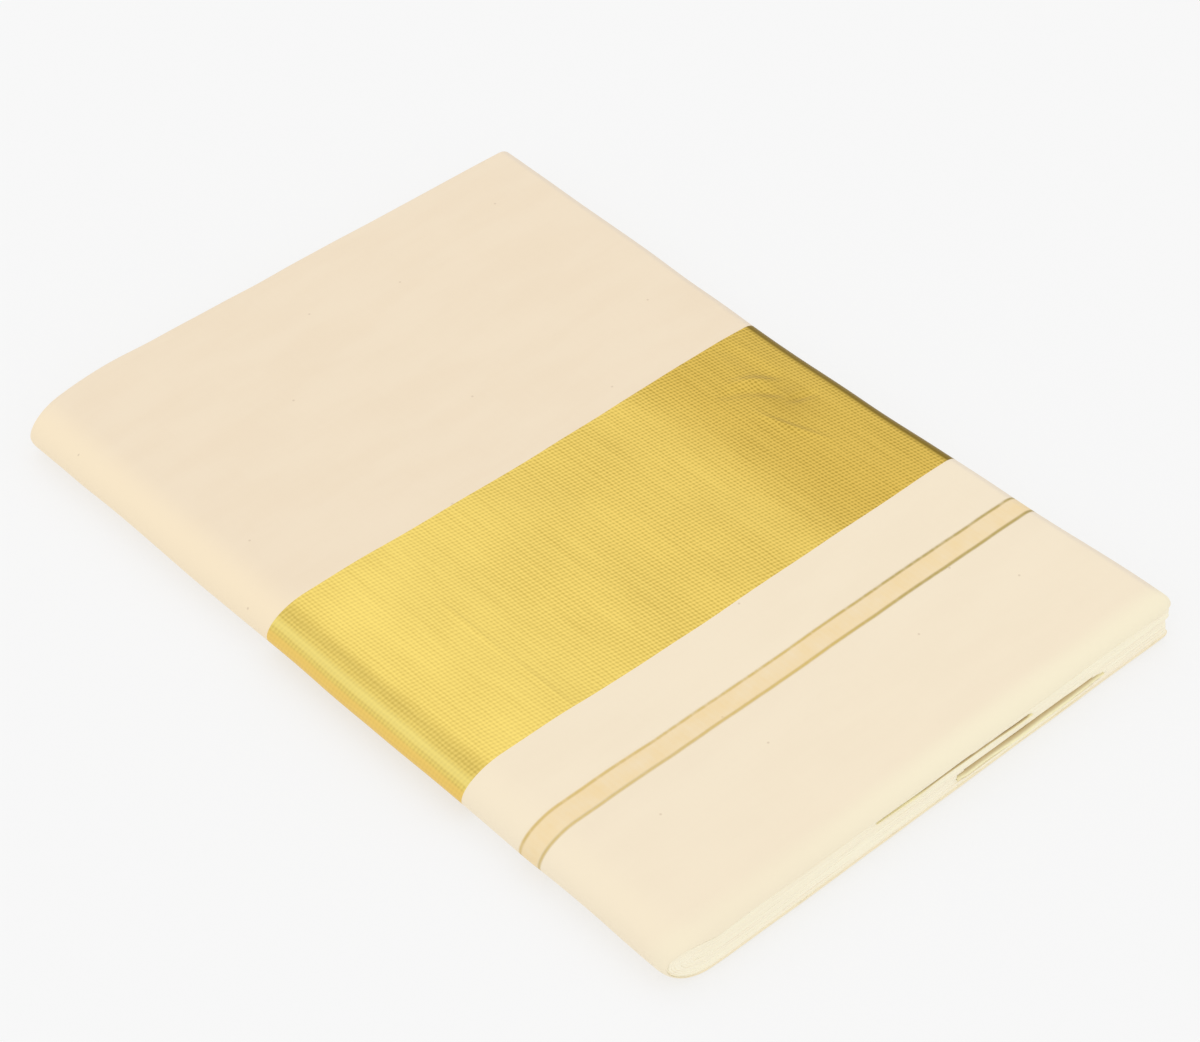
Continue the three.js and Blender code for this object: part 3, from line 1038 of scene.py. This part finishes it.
@dataclass(frozen=True)
class ClothRelief:
    """Creases and slack of the outermost cloth, as a height above the pad's smooth form."""

    creases: tuple[Crease, ...]
    slack: float = 0.00010
    waves: int = 14
    longest: float = 0.110
    shortest: float = 0.030
    deepest: float = 0.00044
    seed: int = 7

    def height(self, around: Array, along: Array, form: PadForm) -> Array:
        """Adds the creases to seeded sine waves. Underneath, the cloth is only ever pressed in.

        Troughs level off before they reach the deepest one, by a hyperbolic tangent, because the
        hidden layers lie just below the cloth.

        Args:
            around, along: places on the cloth.
            form: the pad that it lies on.

        Returns:
            The height at each place.
        """
        generator = np.random.default_rng(self.seed)
        height = sum(crease.height(around, along) for crease in self.creases)
        lengths = np.geomspace(self.longest, self.shortest, self.waves)
        for length in lengths:
            heading, phase = generator.uniform(0.0, 2.0 * np.pi, 2)
            distance = around * np.cos(heading) + along * np.sin(heading)
            wave = np.sin(2.0 * np.pi * distance / length + phase)
            height = height + self.slack * (length / self.longest) * wave
        under = smooth_step((form.spine_x - form.spine_arc(0.5) - around) / form.spine_arc(0.5))
        height = blend(height, -np.abs(height), under)
        return np.where(height < 0.0, self.deepest * np.tanh(height / self.deepest), height)


TOP_CREASES = (
    Crease((-0.084, -0.003), (-0.083, -0.091), 0.0012, 0.00022),
    Crease((0.009, 0.029), (0.010, -0.061), 0.0030, 0.00010),
    Crease((0.090, 0.007), (0.114, -0.012), 0.0022, -0.00080, bow=0.003),
    Crease((0.098, 0.011), (0.122, -0.007), 0.0026, 0.00070, bow=0.002),
    Crease((0.095, -0.008), (0.110, -0.048), 0.0016, 0.00048, bow=-0.002),
    Crease((0.110, -0.015), (0.127, -0.020), 0.0018, -0.00060),
    Crease((0.116, 0.033), (0.119, -0.011), 0.0050, -0.00050),
    Crease((-0.002, 0.155), (0.115, 0.157), 0.0042, 0.00030, bow=0.004),
    Crease((-0.009, 0.148), (0.030, 0.149), 0.0030, -0.00022),
    Crease((-0.012, 0.103), (0.064, 0.099), 0.0050, -0.00032, bow=-0.003),
    Crease((-0.078, 0.078), (-0.032, 0.077), 0.0036, 0.00026),
    Crease((-0.124, 0.077), (-0.072, 0.076), 0.0080, -0.00032),
    Crease((-0.112, 0.127), (-0.032, 0.135), 0.0060, 0.00026, bow=0.004),
    Crease((0.048, 0.059), (0.126, 0.051), 0.0055, 0.00026, bow=-0.003),
    Crease((-0.102, -0.151), (-0.022, -0.157), 0.0045, 0.00020, bow=0.003),
    Crease((0.008, -0.187), (0.118, -0.191), 0.0040, -0.00028, bow=0.003),
    Crease((0.034, -0.171), (0.094, -0.173), 0.0045, 0.00024, bow=-0.002),
    Crease((-0.112, -0.191), (-0.012, -0.194), 0.0040, -0.00024, bow=-0.003),
    Crease((0.028, -0.105), (0.088, -0.108), 0.0040, 0.00016),
)

SPINE_AND_UNDER_CREASES = (
    Crease((-0.130, 0.199), (-0.129, 0.039), 0.0020, -0.00016),
    Crease((-0.148, 0.189), (-0.152, 0.009), 0.0024, -0.00022),
    Crease((-0.133, 0.033), (-0.133, -0.089), 0.0014, -0.00018),
    Crease((-0.139, 0.035), (-0.139, -0.091), 0.0014, 0.00020),
    Crease((-0.149, -0.021), (-0.151, -0.197), 0.0022, -0.00022),
    Crease((-0.242, 0.149), (-0.332, 0.137), 0.0050, -0.00035, bow=0.004),
    Crease((-0.302, 0.059), (-0.402, 0.065), 0.0045, -0.00030, bow=-0.004),
    Crease((-0.237, -0.021), (-0.252, -0.086), 0.0030, -0.00026),
    Crease((-0.342, -0.031), (-0.354, -0.081), 0.0026, -0.00030, bow=0.003),
    Crease((-0.262, -0.161), (-0.382, -0.157), 0.0045, -0.00032, bow=0.003),
)


@dataclass(frozen=True)
class StretchSpec:
    """One stretch of the outermost cloth along Y, and the node that it stands for."""

    piece: str
    node: str
    start: float | None
    stop: float | None
    steps: int
    slot: Slot


@dataclass(frozen=True)
class OuterCloth:
    """The outermost cloth: one woven sheet in five stretches that meet at the changes of its weave."""

    form: PadForm
    relief: ClothRelief
    cloth: float = 0.00045
    band_back: float = 0.0336
    band_front: float = -0.0884
    lines_back: float = -0.1209
    lines_front: float = -0.1349
    plan: GridPlan = GridPlan(roll=8, top=260, spine=60, under=40)

    def specs(self) -> tuple[StretchSpec, ...]:
        """The stretches, from the back to the front."""
        cotton, gold = Slot.COTTON, Slot.GOLD
        return (
            StretchSpec("back_cloth", "back_stretch", self.band_back, None, 92, cotton),
            StretchSpec("gold_band", "gold_band_stretch", self.band_front, self.band_back, 100, gold),
            StretchSpec("middle_cloth", "middle_stretch", self.lines_back, self.band_front, 18, cotton),
            StretchSpec("lined_cloth", "lined_stretch", self.lines_front, self.lines_back, 14, cotton),
            StretchSpec("front_cloth", "front_stretch", None, self.lines_front, 46, cotton),
        )

    def flat_size(self, spec: StretchSpec) -> tuple[float, float]:
        """How wide and long the stretch's cloth is when it is unfolded.

        Args:
            spec: the stretch.

        Returns:
            The way round the fold, and the way along Y.
        """
        rounds = self.plan.rounds(self.form)
        around, along = self.form.cloth_places(rounds, self.plan.alongs(spec.start, spec.stop, spec.steps))
        return float(np.ptp(around)), float(np.ptp(along))

    def build(self, spec: StretchSpec) -> bpy.types.Object:
        """Makes one stretch as a closed thin wall on the pad's form, with its creases.

        Args:
            spec: the stretch.

        Returns:
            Its object.
        """
        rounds = self.plan.rounds(self.form)
        alongs = self.plan.alongs(spec.start, spec.stop, spec.steps)
        around, along = self.form.cloth_places(rounds, alongs)
        inset = -self.relief.height(around, along, self.form)
        outer = self.form.points(rounds, alongs, inset=inset)
        inner = self.form.points(rounds, alongs, inset=inset + self.cloth)
        cloth = np.stack((around, along), axis=-1)
        return ClosedMesh(spec.piece, shell_patches(outer, inner, cloth)).build()

    def declare(self, piece: bpy.types.Object, spec: StretchSpec) -> None:
        """Attaches the stretch to the body and hides the part that it stands for; its flat size is worked
        out but not kept.
        """
        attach(piece, BODY)
        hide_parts(spec.node)
        self.flat_size(spec)


class Pack(NamedTuple):
    """A pack of folded layers: its shares outwards, its leaves, and its recess at each edge."""

    inner: float
    outer: float
    leaves: int
    front: float
    back: float
    right: float


@dataclass(frozen=True)
class BorderFold:
    """A folded edge of the gold border that comes out between the layers at the front end.

    It is a strip of cloth folded over a round nose, which follows the front end. The height is that of its
    left end, and the fall is how much lower its right end lies. Towards each end it thins out.
    """

    piece: str
    node: str
    left: float
    right: float
    height: float
    thick: float
    front: float
    fall: float = 0.0
    thin_left: float = 0.003
    thin_right: float = 0.003
    cloth: float = 0.00035
    thinnest: float = 0.18
    depth: float = 0.009
    steps: int = 90
    nose_steps: int = 12
    straight_steps: int = 4
    sways: tuple[Triple, ...] = ((0.00022, 0.011, 0.0), (0.00012, 0.0047, 1.0))
    lift_share: float = 0.5

    @property
    def slope(self) -> float:
        """How much lower the strip lies for each unit of length along X."""
        return self.fall / (self.right - self.left)

    def level(self, x: Array | float) -> Array:
        """Height of the fold's middle along X."""
        return self.height - self.slope * (x - self.left)

    def fullness(self, x: Array) -> Array:
        """Share of the thickness along X: a smooth step up from the left end and down to the right end."""
        from_left = smooth_step((x - self.left) / self.thin_left)
        return blend(self.thinnest, 1.0, from_left * smooth_step((self.right - x) / self.thin_right))

    def profile(self, inset: float) -> tuple[Array, Array]:
        """Depth and height along the folded section: back to front on top, round the nose, and back below.

        Args:
            inset: depth below the strip's outer face.

        Returns:
            The depths behind the nose and the heights above the fold's middle.
        """
        half = self.thick / 2
        angles = np.linspace(np.pi / 2, -np.pi / 2, self.nose_steps + 1)
        straight = np.linspace(self.depth, half, self.straight_steps + 1)[:-1]
        depth = np.concatenate((straight, half - (half - inset) * np.cos(angles), straight[::-1]))
        level = np.full(straight.size, half - inset)
        return depth, np.concatenate((level, (half - inset) * np.sin(angles), -level))

    def grid(self, form: PadForm, inset: float) -> Array:
        """The folded section carried along X, with a slight wave in and out."""
        depth, height = self.profile(inset)
        x = np.linspace(self.left, self.right, self.steps + 1)
        sway = sum(size * np.sin(x / length + phase) for size, length, phase in self.sways)
        y = -form.length / 2 + self.front + depth[:, None] + sway[None, :]
        z = self.level(x)[None, :] + height[:, None] * self.fullness(x)[None, :]
        z = z + self.lift_share * sway[None, :]
        return form.shape_ends(x[None, :] + np.zeros_like(y), y, z)

    def build(self, form: PadForm) -> bpy.types.Object:
        """Makes the strip as a closed thin wall.

        Args:
            form: the pad that it comes out of.

        Returns:
            Its object.
        """
        outer, inner = self.grid(form, 0.0), self.grid(form, self.cloth)
        depth, height = self.profile(0.0)
        section = np.concatenate(([0.0], np.cumsum(np.hypot(np.diff(depth), np.diff(height)))))
        x = np.linspace(self.left, self.right, self.steps + 1)
        cloth = np.stack(np.meshgrid(section, x, indexing="ij"), axis=-1)
        patches = shell_patches(outer, inner, cloth)
        turned_over = [patch._replace(flipped=not patch.flipped) for patch in patches]
        return ClosedMesh(self.piece, turned_over).build()

    def declare(self, piece: bpy.types.Object) -> None:
        """Attaches the strip to the body and hides the part that it stands for."""
        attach(piece, BODY)
        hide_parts(self.node)


@dataclass(frozen=True)
class FoldedLayers:
    """The layers inside the outermost cloth: one folded body, with the rounded edge of each leaf.

    Between the slit and the skin, each pack has a few leaves. A leaf's edge is half an ellipse, and its
    recess and its height waver along the edge.
    """

    form: PadForm
    borders: tuple[BorderFold, ...]
    skin: float = 0.0005
    plan: GridPlan = GridPlan(roll=6, top=130, spine=26, under=60)
    steps: int = 112
    leaf_steps: int = 6
    leaf_round: float = 0.00024
    stray: float = 0.00010
    waver: float = 0.00008
    wave_lengths: Span = (0.018, 0.060)
    wave_rates: Span = (2.0, 5.0)
    quick_share: float = 0.5
    slit_recess: float = 0.0022
    room_edge: float = 0.0002
    room_end: float = 0.0005
    room_depth: float = 0.0035
    seed: int = 21
    packs: tuple[Pack, ...] = (
        Pack(0.0, 0.30, 3, front=0.0003, back=0.0008, right=0.0008),
        Pack(0.30, 0.61, 3, front=0.0002, back=0.0005, right=0.0016),
        Pack(0.61, 0.93, 3, front=0.0002, back=0.0002, right=0.0009),
        Pack(0.93, 1.0, 1, front=0.0003, back=0.0012, right=0.0012),
    )

    def leaf_lines(self) -> tuple[Array, Array, Array]:
        """Lines across the leaves' edges, at even angles round each.

        Returns:
            Each line's share outwards, its place from -1 to 1 across its leaf, and its leaf's number.
        """
        shares, centred, leaf = [0.0], [-1.0], [0]
        number = 0
        for pack in self.packs:
            bounds = np.linspace(pack.inner, pack.outer, pack.leaves + 1)
            for inner, outer in zip(bounds[:-1], bounds[1:]):
                place = -np.cos(np.linspace(0.0, np.pi, self.leaf_steps + 1))[1:]
                shares.extend(blend(inner, outer, (place + 1.0) / 2))
                centred.extend(place)
                leaf.extend([number] * self.leaf_steps)
                number += 1
        return np.array(shares), np.array(centred), np.array(leaf)

    def recess(self, edge: str, length: Array, x: Array, heights: Array) -> Array:
        """How far in each line of each leaf lies.

        It adds the pack's recess, the leaf's own stray distance, a wave along the edge, the half ellipse
        of the leaf's section, and the room of a gold border edge where one comes out.

        Args:
            edge: the pack's field for this edge.
            length: how far along the edge each grid line lies.
            x: each grid line's X, for the borders' room.
            heights: the height of every grid point.

        Returns:
            A recess for each leaf line and grid line.
        """
        shares, centred, leaf = self.leaf_lines()
        generator = np.random.default_rng(self.seed + len(edge))
        base = np.concatenate([np.full(pack.leaves, getattr(pack, edge)) for pack in self.packs])
        base = base + generator.uniform(-self.stray, self.stray, base.size)
        phases = generator.uniform(0.0, 2.0 * np.pi, (base.size, 2))
        lengths = generator.uniform(*self.wave_lengths, (base.size, 2))
        slow, quick = (
            np.sin(length[None, :] / lengths[leaf, column][:, None] * rate + phases[leaf, column][:, None])
            for column, rate in enumerate(self.wave_rates)
        )
        section = 1.0 - np.sqrt(np.maximum(0.0, 1.0 - centred**2))
        recess = base[leaf][:, None] + self.waver * (slow + quick * self.quick_share)
        recess = recess + self.leaf_round * section[:, None]
        if edge == "front":
            for border in self.borders:
                half = border.thick / 2 * border.fullness(x)
                near = np.abs(heights - border.level(x)[None, :]) - half[None, :]
                room = smooth_step(1.0 - near / self.room_edge)
                inside = (x > border.left + self.room_end) & (x < border.right - self.room_end)
                recess = recess + self.room_depth * room * (inside * border.fullness(x))[None, :]
        return recess

    def side(self, rounds: RoundLines, alongs: AlongLines, edge: str) -> Patch:
        """The leaves' edges along one side of the body.

        Args:
            rounds, alongs: the side's grid lines. One of the two has a single line.
            edge: which edge of the packs it is.

        Returns:
            Its patch, with the leaf lines on the first axis.
        """
        shares = self.leaf_lines()[0]
        around, along = self.form.cloth_places(rounds, alongs)
        plain = [self.form.points(rounds, alongs, self.skin, share).reshape(-1, 3) for share in shares]
        length = (around if rounds.place.size > 1 else along).reshape(-1)
        plain = np.stack(plain)
        recess = self.recess(edge, length, plain[0, :, 0], plain[..., 2])
        recess[-1] = 0.0
        grid_shape = around.shape
        lines = [
            self.form.points(rounds, alongs, self.skin, share, line.reshape(grid_shape)).reshape(-1, 3)
            for share, line in zip(shares, recess)
        ]
        cloth = np.stack((around.reshape(-1), along.reshape(-1)), axis=-1)
        return Patch(np.stack(lines), np.broadcast_to(cloth, (shares.size, *cloth.shape)))

    def build(self) -> bpy.types.Object:
        """Makes the closed body: its skin, the slit, and the leaves' edges along its four sides.

        Returns:
            Its object.
        """
        rounds = self.plan.rounds(self.form)
        alongs = self.plan.alongs(None, None, self.steps)
        first, last = slice(0, 1), slice(-1, None)
        first_round, last_round = (RoundLines(*(line[part] for line in rounds)) for part in (first, last))
        first_along, last_along = (
            alongs._replace(over=alongs.over[part], end=alongs.end[part], share=alongs.share[part])
            for part in (first, last)
        )
        top_right = self.side(first_round, alongs, "right")
        low_right = self.side(last_round, alongs, "right")
        front = self.side(rounds, first_along, "front")
        back = self.side(rounds, last_along, "back")
        for side, column in ((front, 0), (back, -1)):
            top_right.points[:, column] = side.points[:, 0]
            low_right.points[:, column] = side.points[:, -1]
        cloth = np.stack(self.form.cloth_places(rounds, alongs), axis=-1)
        skin = self.form.points(rounds, alongs, self.skin)
        slit = self.form.points(rounds, alongs, self.skin, 0.0, self.slit_recess)
        edges = (np.s_[:, 0], np.s_[:, -1], np.s_[0], np.s_[-1])
        for side, line in zip((front, back, top_right, low_right), edges):
            slit[line] = side.points[0]
            skin[line] = side.points[-1]
        body = ClosedMesh(
            "folded_layers",
            [
                Patch(skin, cloth),
                Patch(slit, cloth, flipped=True),
                top_right,
                low_right._replace(flipped=True),
                front._replace(flipped=True),
                back,
            ],
        )
        return body.build()

    def declare(self, piece: bpy.types.Object) -> None:
        """Attaches the body to the root and hides the part that it stands for."""
        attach(piece, BODY)
        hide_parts("hidden_layers")


class Lobe(NamedTuple):
    """A soft patch of the studio's light, brighter or darker than the rest."""

    azimuth: float
    elevation: float
    spread: float
    strength: float


@dataclass(frozen=True)
class Studio:
    """A plain pale floor, soft light from all round and the camera."""

    lens: float = 100.035
    sensor: float = 36.0
    camera_place: tuple[float, float, float] = (-0.69141, -0.76776, 0.97901)
    camera_azimuth: float = -42.503
    camera_elevation: float = 43.181
    floor_half: float = 8.0
    floor_tone: float = 0.30
    floor_glow: float = 0.624
    light: float = 0.92
    lobes: tuple[Lobe, ...] = (
        Lobe(azimuth=55.0, elevation=52.0, spread=30.0, strength=0.45),
        Lobe(azimuth=123.0, elevation=50.0, spread=17.0, strength=-0.20),
        Lobe(azimuth=20.0, elevation=12.0, spread=24.0, strength=-0.50),
        Lobe(azimuth=235.0, elevation=40.0, spread=45.0, strength=0.25),
    )

    def camera(self) -> None:
        """Makes the camera, which looks down along its azimuth and elevation."""
        azimuth, elevation = math.radians(self.camera_azimuth), math.radians(self.camera_elevation)
        level = math.cos(elevation)
        back = Vector((math.sin(azimuth) * level, -math.cos(azimuth) * level, math.sin(elevation)))
        data = bpy.data.cameras.new("camera")
        data.sensor_fit, data.sensor_width, data.lens = "HORIZONTAL", self.sensor, self.lens
        data.dof.use_dof = False
        camera = bpy.data.objects.new("camera", data)
        camera.location = self.camera_place
        camera.rotation_mode = "QUATERNION"
        camera.rotation_quaternion = (-back).to_track_quat("-Z", "Y")
        bpy.context.scene.collection.objects.link(camera)
        bpy.context.scene.camera = camera

    def sky(self) -> None:
        """Soft light all round: an even light plus each lobe's strength times a bell curve of its angle."""
        world = bpy.data.worlds.new("studio")
        bpy.context.scene.world = world
        world.use_nodes = True
        shader = Shader(world.node_tree)
        heading = shader.node("ShaderNodeTexCoord", {}, {}, output=0)
        light: Wire | float = self.light
        for lobe in self.lobes:
            azimuth, elevation = math.radians(lobe.azimuth), math.radians(lobe.elevation)
            level = math.cos(elevation)
            middle = (math.cos(azimuth) * level, math.sin(azimuth) * level, math.sin(elevation))
            settings = {"operation": "DOT_PRODUCT"}
            cosine = shader.node("ShaderNodeVectorMath", settings, {0: heading, 1: middle}, output=1)
            narrow = 1.0 / (1.0 - math.cos(math.radians(lobe.spread)))
            light = light + ((cosine - 1.0) * narrow).power_of_e() * lobe.strength
        sky = shader.node("ShaderNodeBackground", {}, {"Color": WHITE, "Strength": light})
        shader.end("ShaderNodeOutputWorld", sky)

    def floor(self) -> None:
        """A pale floor that glows a little, as a lit table does."""
        half = self.floor_half
        mesh = bpy.data.meshes.new("floor")
        corners = [(-half, -half, 0.0), (half, -half, 0.0), (half, half, 0.0), (-half, half, 0.0)]
        mesh.from_pydata(corners, [], [(0, 1, 2, 3)])
        floor = bpy.data.objects.new("floor", mesh)
        bpy.context.scene.collection.objects.link(floor)
        sockets = {
            "Base Color": ((self.floor_tone,) * 3) + (1.0,),
            "Roughness": 1.0,
            "Specular IOR Level": 0.0,
            "Emission Color": WHITE,
            "Emission Strength": self.floor_glow,
        }
        mesh.materials.append(Finish("pale_floor").material(sockets))

    def build(self) -> None:
        """Sets the whole studio up."""
        bpy.context.scene.view_settings.view_transform = "Standard"
        bpy.context.scene.view_settings.look = "None"
        self.camera()
        self.sky()
        self.floor()


def report(piece: bpy.types.Object) -> None:
    """Logs a piece's name, its faces and its size in millimetres."""
    size = " x ".join(f"{1000.0 * side:.1f}" for side in piece.dimensions)
    LOG.info("%s: %d faces, %s mm", piece.name, len(piece.data.polygons), size)


def main() -> None:
    """Builds the studio, then each piece in order, and reports them."""
    logging.basicConfig(level=logging.INFO, format="%(name)s: %(message)s")
    Studio().build()
    form = PadForm()
    cotton = CottonFinish("cream_cotton_cloth")
    finishes = {
        # The back stretch takes darker colours, which are painted shade.
        "back_cloth": CottonFinish("cream_cotton_back_painted_shade", *PAINTED_SHADE_BACK_TONES),
        "gold_band": GoldFinish("gold_weave_cloth"),
        "middle_cloth": cotton,
        "lined_cloth": LinedCottonFinish("lined_cotton_cloth", cotton),
        # The front stretch takes painted light on its roll.
        "front_cloth": CottonFinish("cream_cotton_front_painted_light", painted_light_below=-0.2020),
    }
    outer = OuterCloth(form, ClothRelief(TOP_CREASES + SPINE_AND_UNDER_CREASES))
    borders = (
        BorderFold(
            "upper_border_edge", "upper_border_fold", left=-0.0335, right=0.0553, height=0.0143,
            thick=0.0010, front=0.0001, fall=0.0014, thin_left=0.050, thin_right=0.004,
        ),
        BorderFold(
            "lower_border_edge", "lower_border_fold", left=0.0113, right=0.0983, height=0.0071,
            thick=0.0038, front=-0.0002, fall=0.0003, thin_left=0.006, thin_right=0.012,
        ),
    )
    layers = FoldedLayers(form, borders)
    body = layers.build()
    body.data.materials.append(FoldedEdgeFinish("folded_edges").material())
    layers.declare(body)
    report(body)
    for spec in outer.specs():
        piece = outer.build(spec)
        piece.data.materials.append(finishes[spec.piece].material())
        outer.declare(piece, spec)
        report(piece)
    for border in borders:
        piece = border.build(form)
        # Each border edge's finish paints shade above its turn and a floor reflection below.
        finish = BorderFinish(
            name=f"{border.piece}_gold",
            turn_height=border.level(0.0) + border.thick * TURN_SHARE,
            turn_soft=border.thick / 2,
            fall=border.slope,
        )
        piece.data.materials.append(finish.material())
        border.declare(piece)
        report(piece)
    bpy.context.view_layer.update()


if __name__ == "__main__":
    main()
